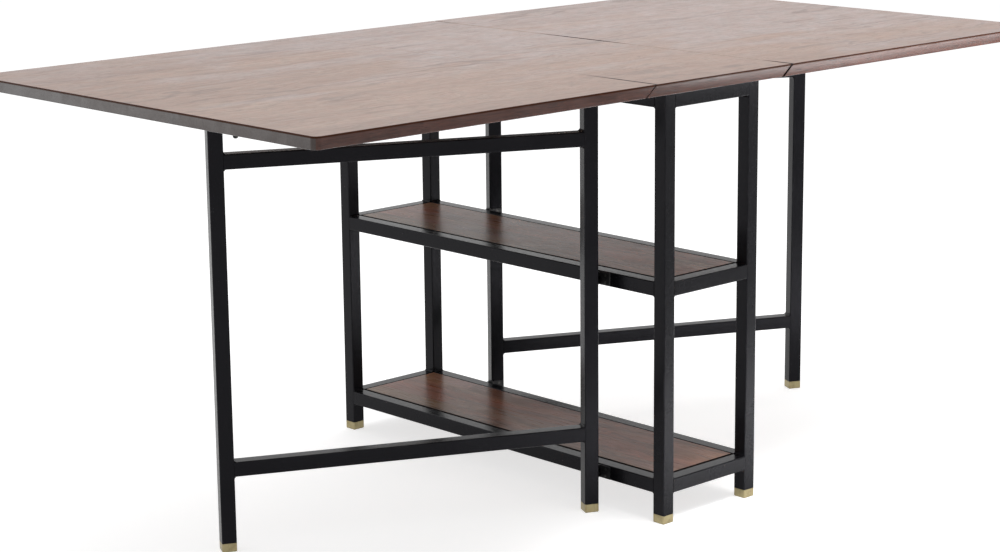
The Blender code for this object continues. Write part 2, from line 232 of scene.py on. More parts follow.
def add_rail(bm, low, high, corner=TUBE_CORNER):
    """A level rail that fills a box, longest side lengthwise, sunk into the welds at both ends."""
    size = high - low
    middle = (low + high) / 2
    lengthwise = TO_RIGHT if size.x > size.y else TO_BACK
    reach = lengthwise * (max(size.x, size.y) / 2 + WELD_SINK)
    side = UP.cross(lengthwise)
    add_bar(bm, middle - reach, middle + reach, side, min(size.x, size.y), size.z, corner)


for side in ("left", "right", "front", "back"):
    bm = new_shape()
    add_rail(bm, *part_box(f"top_rail_{side}"))
    add_piece(f"{side}_top_rail_tube", bm, [steel], "frame", "black_steel", f"top_rail_{side}")

# Shelf rails: the long ones also carry a flat ledge, 12 by 3 mm, welded along their inner face
# a hair below the shelf board, which drops in from above.
LEDGE_WIDTH = 0.012
LEDGE_THICKNESS = 0.003
LEDGE_EASE = 0.0005
LEDGE_CLEAR = 0.0003
for shelf in ("upper", "lower"):
    ledge_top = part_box(f"{shelf}_shelf")[0].z - LEDGE_CLEAR
    for side in ("left", "right", "front", "back"):
        node = f"{shelf}_shelf_rail_{side}"
        low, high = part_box(node)
        bm = new_shape()
        if side in ("left", "right"):
            inward = 1 if side == "left" else -1
            outer = low.x if side == "left" else high.x
            inner = outer + inward * TUBE
            near, far = sorted((outer, inner))
            add_rail(bm, Vector((near, low.y, low.z)), Vector((far, high.y, high.z)))
            near, far = sorted((inner - inward * WELD_SINK, inner + inward * LEDGE_WIDTH))
            add_rail(bm, Vector((near, low.y + WELD_SINK, ledge_top - LEDGE_THICKNESS)),
                     Vector((far, high.y - WELD_SINK, ledge_top)), LEDGE_EASE)
        else:
            add_rail(bm, low, high)
        add_piece(f"{side}_{shelf}_shelf_rail_tube", bm, [steel], "frame", "black_steel", node)

# Welds of the centre frame: a small hollow fillet across the tube wherever a rail's upper or lower
# face meets a leg. The flush side faces are ground off before coating, so they show no bead.
WELD_LEG = 0.0045
WELD_RUN = TUBE - 2 * TUBE_CORNER
WELD_HOLLOW = 0.58
WELD_ROOT = 0.12
FILLET_SINK = 0.0003


def axes_of(tree, place):
    """The X, Y and Z of a place, each by its letter."""
    return add_node(tree, "ShaderNodeSeparateXYZ", {0: place}).outputs


def new_tree(name, takes, gives, numbers):
    """A tree, still empty, that takes points and some numbers and gives a mesh; its inputs come too."""
    tree = bpy.data.node_groups.new(name, "GeometryNodeTree")
    face = tree.interface
    face.new_socket(takes, in_out="INPUT", socket_type="NodeSocketGeometry")
    for label, value in numbers.items():
        kind = "NodeSocketInt" if isinstance(value, int) else "NodeSocketFloat"
        face.new_socket(label, in_out="INPUT", socket_type=kind).default_value = value
    face.new_socket(gives, in_out="OUTPUT", socket_type="NodeSocketGeometry")
    return tree, add_node(tree, "NodeGroupInput").outputs


def told(tree, name):
    """The three numbers that each point was told under a name."""
    asked = add_node(tree, "GeometryNodeInputNamedAttribute", {"Name": name}, data_type="FLOAT_VECTOR")
    return asked.outputs["Attribute"]


def lay_copies(tree, points, shape, turn, finish, gives):
    """Lays a copy of a shape on each point, turned, stretched by its size, and coated."""
    laid = add_node(tree, "GeometryNodeInstanceOnPoints", {
        "Points": points, "Instance": shape, "Rotation": turn, "Scale": told(tree, "size")})
    real = add_node(tree, "GeometryNodeRealizeInstances", {"Geometry": laid.outputs["Instances"]})
    smooth = add_node(tree, "GeometryNodeSetShadeSmooth", {"Geometry": real.outputs["Geometry"]})
    coated = add_node(tree, "GeometryNodeSetMaterial", {
        "Geometry": smooth.outputs["Geometry"], "Material": finish})
    add_node(tree, "NodeGroupOutput", {gives: coated.outputs["Geometry"]})


def weld_tree(finish):
    """Lays one rippled fillet on each point, turned by its lie and stretched by its size."""
    numbers = {"Hollow": WELD_HOLLOW, "Ripple": 0.05, "Ripple Pitch": 42.0}
    tree, given = new_tree("weld_fillets", "Seams", "Welds", numbers)
    cube = add_node(tree, "GeometryNodeMeshCube", {
        "Size": (1, 1, 1), "Vertices X": 25, "Vertices Y": 3, "Vertices Z": 3})
    at = axes_of(tree, add_node(tree, "GeometryNodeInputPosition").outputs[0])
    across = sum_of(tree, "ADD", at["Y"], 0.5)
    up = sum_of(tree, "ADD", at["Z"], 0.5)
    wave = sum_of(tree, "SINE", sum_of(tree, "MULTIPLY", at["X"], given["Ripple Pitch"]))
    swell = sum_of(tree, "ADD", sum_of(tree, "MULTIPLY", wave, given["Ripple"]), 1.0)
    sides = []
    for own, other in ((across, up), (up, across)):
        drawn_in = sum_of(tree, "SUBTRACT", 1.0, sum_of(tree, "MULTIPLY", other, given["Hollow"]))
        side = sum_of(tree, "MULTIPLY", sum_of(tree, "MULTIPLY", own, drawn_in), swell)
        sides.append(sum_of(tree, "SUBTRACT", side, WELD_ROOT))
    bent = add_node(tree, "ShaderNodeCombineXYZ", {"X": at["X"], "Y": sides[0], "Z": sides[1]})
    bead = add_node(tree, "GeometryNodeSetPosition", {
        "Geometry": cube.outputs["Mesh"], "Position": bent.outputs[0]})
    turn = add_node(tree, "FunctionNodeEulerToRotation", {"Euler": told(tree, "lie")})
    lay_copies(tree, given["Seams"], bead.outputs["Geometry"], turn.outputs["Rotation"], finish, "Welds")
    return tree


def seam(corner, off_leg, off_rail, run):
    """Where a fillet lies: its corner, its turn and its stretch."""
    turn = Matrix((off_leg.cross(off_rail), off_leg, off_rail)).transposed()
    return corner, turn.to_euler(), (run, WELD_LEG, WELD_LEG)


def lay_on_points(name, tree, spots, inputs, body, slot):
    """Runs a tree over a list of spots and keeps the result as one plain mesh on a body."""
    mesh = bpy.data.meshes.new(name)
    mesh.from_pydata([spot[0] for spot in spots], [], [])
    for number, attribute in ((1, "lie"), (2, "size")):
        values = mesh.attributes.new(attribute, "FLOAT_VECTOR", "POINT")
        for value, spot in zip(values.data, spots):
            value.vector = spot[number]
    piece = bpy.data.objects.new(name, mesh)
    layer = piece.modifiers.new(name, "NODES")
    layer.node_group = tree
    for item in tree.interface.items_tree:
        if item.in_out == "INPUT" and item.name in inputs:
            layer[item.identifier] = inputs[item.name]
    bpy.context.collection.objects.link(piece)
    settle(piece, body, slot)
    piece.data.set_sharp_from_angle(angle=CREASE)


weld_fillets = weld_tree(steel)
frame_seams = []
for ring in ("top_rail", "upper_shelf_rail", "lower_shelf_rail"):
    for side in ("left", "right", "front", "back"):
        low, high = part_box(f"{ring}_{side}")
        runs_along_x = side in ("front", "back")
        leg_low, leg_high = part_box(f"leg_{side}_front" if not runs_along_x else f"leg_left_{side}")
        leg_middle = (leg_low + leg_high) / 2
        for end in (-1, 1):
            off_leg = Vector((-end, 0, 0)) if runs_along_x else Vector((0, -end, 0))
            edge = low if end < 0 else high
            x = edge.x + end * FILLET_SINK if runs_along_x else leg_middle.x
            y = leg_middle.y if runs_along_x else edge.y + end * FILLET_SINK
            frame_seams.append(seam(Vector((x, y, low.z)), off_leg, -UP, WELD_RUN))
            if ring != "top_rail":
                frame_seams.append(seam(Vector((x, y, high.z)), off_leg, UP, WELD_RUN))
lay_on_points("frame_welds", weld_fillets, frame_seams, {"Hollow": WELD_HOLLOW}, "frame", "black_steel")

# Feet: a square brass cap as wide as the tube, 15 mm high with an eased sole, whose spigot is
# pressed into the leg. It is brushed up and down, then lacquered.
FOOT_HEIGHT = 0.015
SOLE_EASE = 0.0016
CROWN_EASE = 0.0004
BRASS_DULL = (0.262, 0.220, 0.119, 1)
BRASS_BRIGHT = (0.390, 0.335, 0.194, 1)
BRASS_AGED = (0.155, 0.122, 0.062, 1)
BRASS_DIRT = (0.085, 0.064, 0.032, 1)


def stretch(tree, place, scale):
    """A place whose axes are scaled, so that what is drawn on it comes out longer or shorter."""
    return add_node(tree, "ShaderNodeMapping", {"Vector": place, "Scale": scale}).outputs[0]


def brushed_brass():
    """Lacquered brass with fine upright brush lines, darker where dirt sits in the eased edges."""
    finish, tree, shader, place = new_finish("brushed_brass")
    lines = speckle(tree, stretch(tree, place, (1.0, 1.0, 0.05)), 2600.0, 3.0, 0.6)
    stain = speckle(tree, place, 90.0, 3.0, 0.6)
    metal = cloudy(tree, lines, BRASS_DULL, BRASS_BRIGHT)
    aged = tint(tree, between(tree, stain, 0.45, 0.75, 0.0, 0.5), metal, BRASS_AGED)
    dirt = sum_of(tree, "MULTIPLY", arris_of(tree), between(tree, stain, 0.3, 0.6, 0.2, 0.7))
    brushed = between(tree, lines, 0.25, 0.75, 0.30, 0.46)
    lay_finish(tree, shader, tint(tree, dirt, aged, BRASS_DIRT), brushed, lines, 0.18, 0.0002)
    shader.inputs["Metallic"].default_value = 1.0
    return finish


def add_foot(name, tube_middle, side, body, node):
    """A foot cap in line with its tube."""
    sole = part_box(node)[0].z
    bm = new_shape()
    bmesh.ops.create_cube(bm, size=1.0, matrix=Matrix.Diagonal((TUBE, TUBE, FOOT_HEIGHT, 1.0)))
    ease_edges(bm, upright_edges(bm.edges), TUBE_CORNER, clamp=False)
    rims = [e for e in bm.edges if e.calc_face_angle(0.0) > math.radians(60)]
    soles = [e for e in rims if e.verts[0].co.z < 0]
    crowns = [e for e in rims if e.verts[0].co.z > 0]
    eased = ease_edges(bm, soles, SOLE_EASE, clamp=False)
    eased |= ease_edges(bm, crowns, CROWN_EASE, 2, clamp=False)
    mark_arris(bm, bm.verts, eased)
    turn = Matrix((side, UP.cross(side), UP)).transposed().to_4x4()
    stand = Matrix.Translation((*tube_middle.xy, sole + FOOT_HEIGHT / 2))
    bmesh.ops.transform(bm, matrix=stand @ turn, verts=bm.verts)
    add_piece(name, bm, [brass], body, "brass", node)


brass = brushed_brass()
for x, y in LEG_PLACES:
    low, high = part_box(f"leg_{x}_{y}")
    add_foot(f"{x}_{y}_foot_cap", (low + high) / 2, TO_RIGHT, "frame", f"foot_{x}_{y}")

# Shelf boards: two solid boards, 18 mm thick, laid on the ledges with a 4.5 mm shadow gap at the left
# and front, and nearly touching the other rails. Red-brown wood with the grain along the shelf.
SHELF_EASE = 0.001
SHELF_CLOSES_UP = 0.0032
SHELF_GRAIN = math.radians(90)
SEAM_EASE = 0.0005
SEAM_MARGIN = 0.015
SAME_WAY = 0.9986
NARROW_STAVE = 0.045
WIDE_STAVE = 0.13
BLOCK_LENGTH = 0.31
TOP_LEVEL = 0.76
RIM_FRAY = 0.0008
# Painted shade: a near-black colour laid on the top face beside the open front part of the left seam.
SEAM_PAINTED_SHADE = (0.012, 0.007, 0.006, 1)
SHELF_TONES = ((0.058, 0.022, 0.012, 1), (0.190, 0.084, 0.050, 1),
               (0.282, 0.140, 0.092, 1), (0.216, 0.124, 0.112, 1))
# Near-black tones, painted shade: they stand in for the shadow in the gaps round the shelf boards and in the
# seams of the top.
GAP_SHADE_TONES = ((0.004, 0.002, 0.002, 1), (0.012, 0.006, 0.005, 1),
               (0.020, 0.010, 0.008, 1), (0.016, 0.010, 0.009, 1))
SHELF_BLUSH = ((0.300, 0.090, 0.048, 1), (0.226, 0.138, 0.078, 1))


def plank_wood(name, tones, lie, gloss, shine, contrast=1.0, blush=None, rim=None, painted_light_mask=None,
               flecks=None, seam_shade=None):
    """Lacquered wood: wandering growth lines, long fibres, short pores and soft changes of tone.

    Tones are dark, middle, pale and a grey cast that lies on some patches and, as a painted sheen, grows
    towards the back and right; lie turns the grain about Z.
    Blush gives the redder colour of some of the glued blocks in each stave, and the olive of their
    figure. A rim colour lies along the top arris; given a mask of closed stretches, it is laid only there,
    as painted light over the shade of the closed joint.
    Flecks give the rosy and the tan of a mottled face, whose lines are fewer and wander more.
    A seam mask, if given, tells where the face is painted dark beside an open joint, as painted shade of the
    gap.
    """
    dark, middle, pale, cast_and_sheen = tones
    finish, tree, shader, place = new_finish(name)
    turned = add_node(tree, "ShaderNodeMapping", {"Vector": place, "Rotation": (0, 0, lie)}).outputs[0]
    across = sum_of(tree, "DIVIDE", axes_of(tree, turned)["Y"], NARROW_STAVE if blush else WIDE_STAVE)
    stave = sum_of(tree, "FLOOR", across)
    own = add_node(tree, "ShaderNodeTexWhiteNoise", {"W": stave}, noise_dimensions="1D")
    slid = {0: own.outputs["Color"], 1: (7.0, 0.6, 0.4), 2: turned}
    straight = add_node(tree, "ShaderNodeVectorMath", slid, operation="MULTIPLY_ADD").outputs[0]
    bend, sway, turns, fine = (10.0, 0.024, 55.0, 0.60) if blush else (5.0, 0.030, 110.0, 1.0)
    if flecks:
        bend, sway, turns, fine = 9.0, 0.042, 75.0, 0.40
    fine *= contrast
    wave = add_node(tree, "ShaderNodeTexNoise", {"Vector": straight, "Scale": bend, "Detail": 2.0})
    waved = {0: wave.outputs["Color"], 1: (0.0, sway, sway), 2: straight}
    log = add_node(tree, "ShaderNodeVectorMath", waved, operation="MULTIPLY_ADD").outputs[0]

    def drawn(scale, detail, roughness=0.5, twist=0.0):
        return speckle(tree, stretch(tree, log, scale), 1.0, detail, roughness, twist)

    heart = drawn((0.8, 7.0, 7.0), 2.0, 0.45, 0.4)
    rings = sum_of(tree, "SINE", sum_of(tree, "MULTIPLY", heart, turns))
    if flecks:
        few = between(tree, drawn((2.0, 9.0, 9.0), 2.0), 0.46, 0.60, 0.12, 1.0)
        lines = sum_of(tree, "MULTIPLY", between(tree, rings, 0.72, 1.0, 0.0, 0.40 * contrast), few)
    else:
        lines = between(tree, rings, 0.45, 1.0, 0.0, (0.40 if blush else 0.16) * contrast)
    fibres = drawn((6.0, 260.0, 260.0), 3.0, 0.6)
    hairs = between(tree, fibres, 0.48, 0.75, 0.0, 0.45 * fine)
    pores = between(tree, drawn((20.0, 480.0, 480.0), 1.0), 0.62, 0.72, 0.0, 0.6 * fine)
    streaks = between(tree, drawn((4.5, 95.0, 95.0), 4.0, 0.7, 1.0), 0.52, 0.72, 0.0, 0.60 * fine)
    most_mottle = 0.42 * contrast
    mottle = between(tree, drawn((15.0, 27.0, 27.0), 4.0, 0.68), 0.35, 0.65, 0.0, most_mottle)
    clouds = speckle(tree, stretch(tree, turned, (2.3, 7.5, 7.5)), 1.0, 3.0, 0.55, 0.5)
    # Painted sheen: the grey cast grows towards the back (and to the right on the top), standing in for the
    # brighter reflection on the far side.
    sheen_towards = (0.20, 0.32, 0.0) if flecks else (0.08, 0.34, 0.0)
    painted_sheen_slope = add_node(tree, "ShaderNodeVectorMath", {0: place, 1: sheen_towards}, operation="DOT_PRODUCT")
    cast_and_painted_sheen = sum_of(tree, "ADD", clouds, painted_sheen_slope.outputs["Value"])
    colour = cloudy(tree, heart, middle, pale)
    colour = tint(tree, between(tree, cast_and_painted_sheen, 0.43, 0.58, 0.0, 0.95), colour, cast_and_sheen)
    if blush:
        red, olive = blush
        block = sum_of(tree, "FLOOR", sum_of(tree, "DIVIDE", axes_of(tree, straight)["X"], BLOCK_LENGTH))
        spot = add_node(tree, "ShaderNodeCombineXYZ", {"X": block, "Y": stave}).outputs[0]
        chance = add_node(tree, "ShaderNodeTexWhiteNoise", {"Vector": spot}, noise_dimensions="2D")
        picked = between(tree, chance.outputs["Value"], 0.25, 0.95, 0.0, 0.85)
        uneven = between(tree, drawn((5.0, 30.0, 30.0), 3.0, 0.6), 0.35, 0.62, 0.25, 1.0)
        figure = between(tree, drawn((2.4, 11.0, 11.0), 3.0, 0.6, 0.8), 0.44, 0.56, 0.0, 0.9)
        colour = tint(tree, figure, colour, olive)
        colour = tint(tree, sum_of(tree, "MULTIPLY", picked, uneven), colour, red)
    if flecks:
        rosy, tan = flecks
        patch = speckle(tree, log, 44.0, 4.0, 0.70)
        specks = between(tree, drawn((70.0, 130.0, 130.0), 2.0, 0.6), 0.62, 0.74, 0.0, 0.55)
        colour = tint(tree, between(tree, patch, 0.50, 0.61, 0.0, 0.8), colour, rosy, "MULTIPLY")
        colour = tint(tree, between(tree, patch, 0.50, 0.39, 0.0, 0.8), colour, tan, "MULTIPLY")
        colour = tint(tree, specks, colour, dark)
    colour = tint(tree, mottle, colour, middle)
    for share in (lines, hairs, streaks, pores):
        colour = tint(tree, share, colour, dark)
    deeper = between(tree, own.outputs["Value"], 0.0, 1.0, 0.0, 0.10 * contrast)
    colour = tint(tree, deeper, colour, middle, "MULTIPLY")
    sheen = between(tree, mottle, 0.0, most_mottle, shine * 1.14, shine * 0.80)
    # Painted shade beside an open joint: a darker colour and almost no sheen there.
    if seam_shade:
        share = seam_shade(tree, place)
        colour = tint(tree, share, colour, SEAM_PAINTED_SHADE)
        sheen = sum_of(tree, "MULTIPLY", sheen, between(tree, share, 0.0, 1.0, 1.0, 0.05))
    if rim:
        soaked = sum_of(tree, "MULTIPLY", fibres, RIM_FRAY)
        height = sum_of(tree, "ADD", axes_of(tree, place)["Z"], soaked)
        start = TOP_LEVEL - (0.0015 if painted_light_mask else 0.0029)
        share = between(tree, height, start, start + RIM_FRAY, 0.0, 0.95)
        # With a mask of closed stretches, the rim is painted light over the joint's shade.
        if painted_light_mask:
            share = sum_of(tree, "MULTIPLY", share, painted_light_mask(tree, place))
        colour = tint(tree, share, colour, rim)
        sheen = sum_of(tree, "MULTIPLY", sheen, between(tree, share, 0.0, 1.0, 1.0, 0.08))
    satin = between(tree, fibres, 0.3, 0.7, gloss - 0.04, gloss + 0.05)
    relief = sum_of(tree, "SUBTRACT", sum_of(tree, "MULTIPLY", fibres, 0.5), pores)
    lay_finish(tree, shader, colour, satin, relief, 0.10, 0.0003)
    tree.links.new(sheen, shader.inputs["Specular IOR Level"])
    return finish


def add_board(name, outline_low, outline_high, ease, finishes, body, slot, *nodes):
    """A flat board between two outlines, eased all round, but less along a leaning seam.

    Its finishes are for the upper face, long edges, underside, end grain and seams.
    """
    bm = new_shape()
    under = [bm.verts.new(p) for p in outline_low]
    over = [bm.verts.new(p) for p in outline_high]
    bm.faces.new(list(reversed(under)))
    bm.faces.new(over)
    for n in range(len(under)):
        m = (n + 1) % len(under)
        bm.faces.new((under[n], under[m], over[m], over[n]))
    bm.normal_update()
    flats = [f.normal.copy() for f in bm.faces]
    leaning = [n for n in flats if 0.1 < abs(n.z) < 0.9]

    def seam_faces():
        return [f for f in bm.faces if any(f.normal.dot(n) > SAME_WAY for n in leaning)]

    def seam_edges():
        return {e for f in seam_faces() for e in f.edges}

    sharp = {e for e in bm.edges if e.calc_face_angle(0.0) > math.radians(20)}
    ease_edges(bm, sharp - seam_edges(), ease)
    bm.normal_update()
    ease_edges(bm, seam_edges(), SEAM_EASE)
    bm.normal_update()
    eased = {f for f in bm.faces if all(f.normal.dot(n) < SAME_WAY for n in flats)}
    mark_arris(bm, bm.verts, eased)
    seams = [f.calc_center_median().x for f in seam_faces()]
    for face in bm.faces:
        off_seam = min([abs(face.calc_center_median().x - x) for x in seams], default=1.0)
        if off_seam < SEAM_MARGIN and abs(face.normal.y) < 0.3:
            face.material_index = 4
        elif face in eased or abs(face.normal.z) < 0.9:
            face.material_index = 3 if abs(face.normal.x) > abs(face.normal.y) else 1
        else:
            face.material_index = 0 if face.normal.z > 0 else 2
    return add_piece(name, bm, finishes, body, slot, *nodes)


shelf_face = plank_wood("red_brown_shelf_wood", SHELF_TONES, SHELF_GRAIN, 0.29, 0.115, 1.2,
                        blush=SHELF_BLUSH)
# The shelf edges are painted near black, as painted shade of the shadow gap round each board.
shelf_edge = plank_wood("dark_stained_shelf_edge", GAP_SHADE_TONES, SHELF_GRAIN, 0.50, 0.10)
for shelf in ("upper", "lower"):
    low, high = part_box(f"{shelf}_shelf")
    high = high + Vector((SHELF_CLOSES_UP, SHELF_CLOSES_UP, 0))
    corners = [(low.x, low.y), (high.x, low.y), (high.x, high.y), (low.x, high.y)]
    under = [(*c, low.z) for c in corners]
    over = [(*c, high.z) for c in corners]
    add_board(f"{shelf}_shelf_board", under, over, SHELF_EASE,
              [shelf_face, shelf_edge, shelf_face, shelf_edge], "frame", "shelf_wood", f"{shelf}_shelf")

# Gates: two flat frames of the same 25 mm tube, each a hinge post, an outer leg and two rails,
# welded like the centre frame. Each swings out under its leaf and stands on two brass feet.
gates = {}
for side in ("left", "right"):
    body = f"{side}_gate"
    middles = {}
    for upright in ("hinge_post", "outer_leg"):
        low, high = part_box(f"{side}_gate_{upright}")
        middles[upright] = (low + high) / 2
    reach = middles["outer_leg"] - middles["hinge_post"]
    reach.z = 0.0
    outward = reach.normalized()
    gates[side] = (middles, outward)
    for upright, middle in middles.items():
        low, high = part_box(f"{side}_gate_{upright}")
        foot = Vector((*middle.xy, low.z))
        head = Vector((*middle.xy, high.z))
        bm = new_shape()
        add_bar(bm, foot, head, outward, TUBE, TUBE, TUBE_CORNER)
        add_piece(f"{side}_gate_{upright}_tube", bm, [steel], body, "black_steel",
                  f"{side}_gate_{upright}")
        add_foot(f"{side}_gate_{upright}_foot_cap", middle, outward, body, f"{side}_gate_{upright}_foot")
    gate_seams = []
    for rail in ("top", "bottom"):
        low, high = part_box(f"{side}_gate_{rail}_rail")
        start = middles["hinge_post"] + outward * (TUBE / 2)
        end = middles["outer_leg"] - outward * (TUBE / 2)
        start.z = end.z = (low.z + high.z) / 2
        sunk = outward * WELD_SINK
        bm = new_shape()
        add_bar(bm, start - sunk, end + sunk, UP.cross(outward), TUBE, high.z - low.z, TUBE_CORNER)
        add_piece(f"{side}_gate_{rail}_rail_tube", bm, [steel], body, "black_steel",
                  f"{side}_gate_{rail}_rail")
        for corner, off_leg in ((start, outward), (end, -outward)):
            gate_seams.append(seam(Vector((*corner.xy, low.z)), off_leg, -UP, WELD_RUN))
            gate_seams.append(seam(Vector((*corner.xy, high.z)), off_leg, UP, WELD_RUN))
    lay_on_points(f"{side}_gate_welds", weld_fillets, gate_seams, {"Hollow": WELD_HOLLOW}, body,
                  "black_steel")

# Gate hinges: rolled steel barrel hinges at both shelf rails, one half on the rail, one on the
# post, with a headed pin through the knuckles. Blackened, with a trace of oil.
HINGE_EASE = 0.0003
HINGE_BLACK = (0.020, 0.020, 0.022, 1)
HINGE_GREY = (0.042, 0.041, 0.042, 1)
HINGE_BARE = (0.22, 0.21, 0.20, 1)


def blackened_steel():
    """Oil-blackened steel: cloudy, a little bare where the edges rub."""
    finish, tree, shader, place = new_finish("blackened_hinge_steel")
    clouds = speckle(tree, place, 120.0, 4.0, 0.6)
    scratches = speckle(tree, stretch(tree, place, (1, 0.1, 1)), 1800.0, 2.0)
    worn = sum_of(tree, "MULTIPLY", arris_of(tree), between(tree, clouds, 0.4, 0.65, 0.1, 0.7))
    colour = tint(tree, worn, cloudy(tree, clouds, HINGE_BLACK, HINGE_GREY), HINGE_BARE)
    scratched = between(tree, scratches, 0.3, 0.7, 0.34, 0.52)
    lay_finish(tree, shader, colour, scratched, scratches, 0.15, 0.0002)
    shader.inputs["Metallic"].default_value = 0.7
    return finish


def ease_copy(node, ease):
    """A merged copy of a node's solid with its sharp edges eased."""
    bm = bmesh.new()
    bm.from_mesh(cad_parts[node].data)
    bm.verts.layers.float.new("arris")
    bmesh.ops.remove_doubles(bm, verts=bm.verts, dist=2e-6)
    bmesh.ops.dissolve_limit(bm, angle_limit=math.radians(1.0), verts=bm.verts, edges=bm.edges)
    sharp = [e for e in bm.edges if e.is_manifold and e.calc_face_angle(0.0) > math.radians(50)]
    eased = ease_edges(bm, sharp, ease, 2)
    mark_arris(bm, bm.verts, eased)
    return bm


hinge_steel = blackened_steel()
for side in ("left", "right"):
    for level in ("upper", "lower"):
        for half, body in (("frame_half", "frame"), ("gate_half", f"{side}_gate"), ("pin", "frame")):
            node = f"{side}_gate_{level}_hinge_{half}"
            add_piece(f"{node}_steel", ease_copy(node, HINGE_EASE), [hinge_steel], body, "hinge_steel", node)

# Top: a fixed centre board and two leaves, 20 mm thick, of one brown wood with the grain running
# on across the seams, which lean the same way. The leaves' outer corners are rounded, and satin
# lacquer leaves a dark line on the arris.
TOP_EASE = 0.0015
SEAM_LEAN = 0.025
CORNER_ROUND = 0.012
CORNER_STEPS = 8
LEFT_GAP = 0.002
LEFT_OPENS = (-0.36, -0.27)
TOP_TONES = ((0.084, 0.042, 0.029, 1), (0.258, 0.148, 0.105, 1),
             (0.353, 0.225, 0.165, 1), (0.346, 0.270, 0.257, 1))
TOP_FLECKS = ((1.0, 0.88, 0.85, 1), (0.78, 0.81, 0.79, 1))
EDGE_TONES = ((0.028, 0.009, 0.006, 1), (0.098, 0.032, 0.021, 1),
              (0.144, 0.056, 0.040, 1), (0.108, 0.054, 0.047, 1))
END_TONES = ((0.020, 0.011, 0.009, 1), (0.058, 0.037, 0.031, 1),
             (0.084, 0.058, 0.050, 1), (0.070, 0.054, 0.051, 1))
ARRIS_BROWN = (0.066, 0.020, 0.009, 1)
# Painted light: a pale colour along the top of a seam face where the joint is closed, filling in the joint's
# shade.
SEAM_PAINTED_LIGHT = (0.50, 0.40, 0.355, 1)


def seam_light_share(tree, place):
    """1 where a leaf meets the centre board and its seam top is painted light over the joint's shade, 0
    where the dark painted shade of the gap shows.
    """
    spot = axes_of(tree, place)
    left = between(tree, spot["Y"], *LEFT_OPENS, 0.0, 1.0)
    right_front = between(tree, spot["Y"], -0.42, -0.38, 0.0, 1.0)
    right_middle = sum_of(tree, "MAXIMUM", between(tree, spot["Y"], -0.08, 0.0, 1.0, 0.0),
                          between(tree, spot["Y"], 0.10, 0.18, 0.0, 1.0))
    right_back = between(tree, spot["Y"], 0.38, 0.43, 1.0, 0.5)
    right = sum_of(tree, "MULTIPLY", sum_of(tree, "MULTIPLY", right_front, right_middle), right_back)
    on_right = sum_of(tree, "GREATER_THAN", spot["X"], 0.0)
    return add_node(tree, "ShaderNodeMix", {0: on_right, 2: left, 3: right}, data_type="FLOAT").outputs[0]


def open_seam_painted_shade(tree, place):
    """1 beside the front part of the left seam, where the boards stand apart and the top face gets painted
    shade of the gap.
    """
    spot = axes_of(tree, place)
    gap_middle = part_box("left_leaf")[1].x + LEFT_GAP / 2
    off = sum_of(tree, "ABSOLUTE", sum_of(tree, "SUBTRACT", spot["X"], gap_middle))
    beside = between(tree, off, 0.0020, 0.0042, 0.95, 0.0)
    return sum_of(tree, "MULTIPLY", beside, between(tree, spot["Y"], *LEFT_OPENS, 1.0, 0.0))


def round_corners(corners, rounded):
    """The outline of a board, given round from its left front corner, with some corners rounded."""
    outline = []
    for n, (x, y) in enumerate(corners):
        if n not in rounded:
            outline.append((x, y))
            continue
        centre_x = x + CORNER_ROUND * (1 if n in (0, 3) else -1)
        centre_y = y + CORNER_ROUND * (1 if n in (0, 1) else -1)
        for step in range(CORNER_STEPS + 1):
            turn = math.pi + (n + step / CORNER_STEPS) * math.pi / 2
            outline.append((centre_x + CORNER_ROUND * math.cos(turn),
                            centre_y + CORNER_ROUND * math.sin(turn)))
    return outline


top_face = plank_wood("brown_top_wood", TOP_TONES, 0.0, 0.38, 0.5, 1.3, flecks=TOP_FLECKS,
                      seam_shade=open_seam_painted_shade)
top_edge = plank_wood("brown_edge_wood", EDGE_TONES, 0.0, 0.15, 0.38, rim=ARRIS_BROWN)
top_end = plank_wood("brown_end_grain_wood", END_TONES, 0.0, 0.22, 0.48, 0.6, rim=ARRIS_BROWN)
top_under = plank_wood("brown_underside_wood", TOP_TONES, 0.0, 0.55, 0.4, 0.8)
# Seam faces: near-black painted shade of the open joint, with painted light along their top where the joint
# is closed.
top_seam = plank_wood("seam_wood_painted_shade_and_light", GAP_SHADE_TONES, 0.0, 0.50, 0.10, rim=SEAM_PAINTED_LIGHT, painted_light_mask=seam_light_share)
for board, body, rounded in (("left_leaf", "left_leaf_body", (0, 3)), ("centre_top", "frame", ()),
                             ("right_leaf", "right_leaf_body", (1, 2))):
    low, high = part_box(board)
    left_lean = 0.0 if board == "left_leaf" else SEAM_LEAN
    right_lean = 0.0 if board == "right_leaf" else SEAM_LEAN
    left, right = low.x, high.x - right_lean
    under = round_corners([(left, low.y), (right, low.y), (right, high.y), (left, high.y)], rounded)
    left, right = low.x + left_lean, high.x
    over = round_corners([(left, low.y), (right, low.y), (right, high.y), (left, high.y)], rounded)
    add_board(f"{board}_board", [(*c, low.z) for c in under], [(*c, high.z) for c in over], TOP_EASE,
              [top_face, top_edge, top_under, top_end, top_seam], body, "top_wood", board)

# Leaf hinges: two thin-plate hinges under each seam, one half screwed to the centre board and
# one to the leaf, of the same blackened steel as the gate hinges.
PLATE_EASE = 0.00025
for side in ("left", "right"):
    for end in ("pivot_end", "leg_end"):
        for half, body in (("fixed_half", "frame"), ("leaf_half", f"{side}_leaf_body")):
            node = f"{side}_leaf_hinge_{end}_{half}"
            add_piece(f"{node}_steel", ease_copy(node, PLATE_EASE), [hinge_steel], body, "hinge_steel", node)

# Leaf buffers: a black rubber peg with a rounded tip, pressed into the underside of each leaf to
# meet the frame softly when the leaf hangs down.
PEG_EASE = 0.0004
RUBBER_BLACK = (0.010, 0.010, 0.010, 1)
RUBBER_BLOOM = (0.024, 0.023, 0.022, 1)


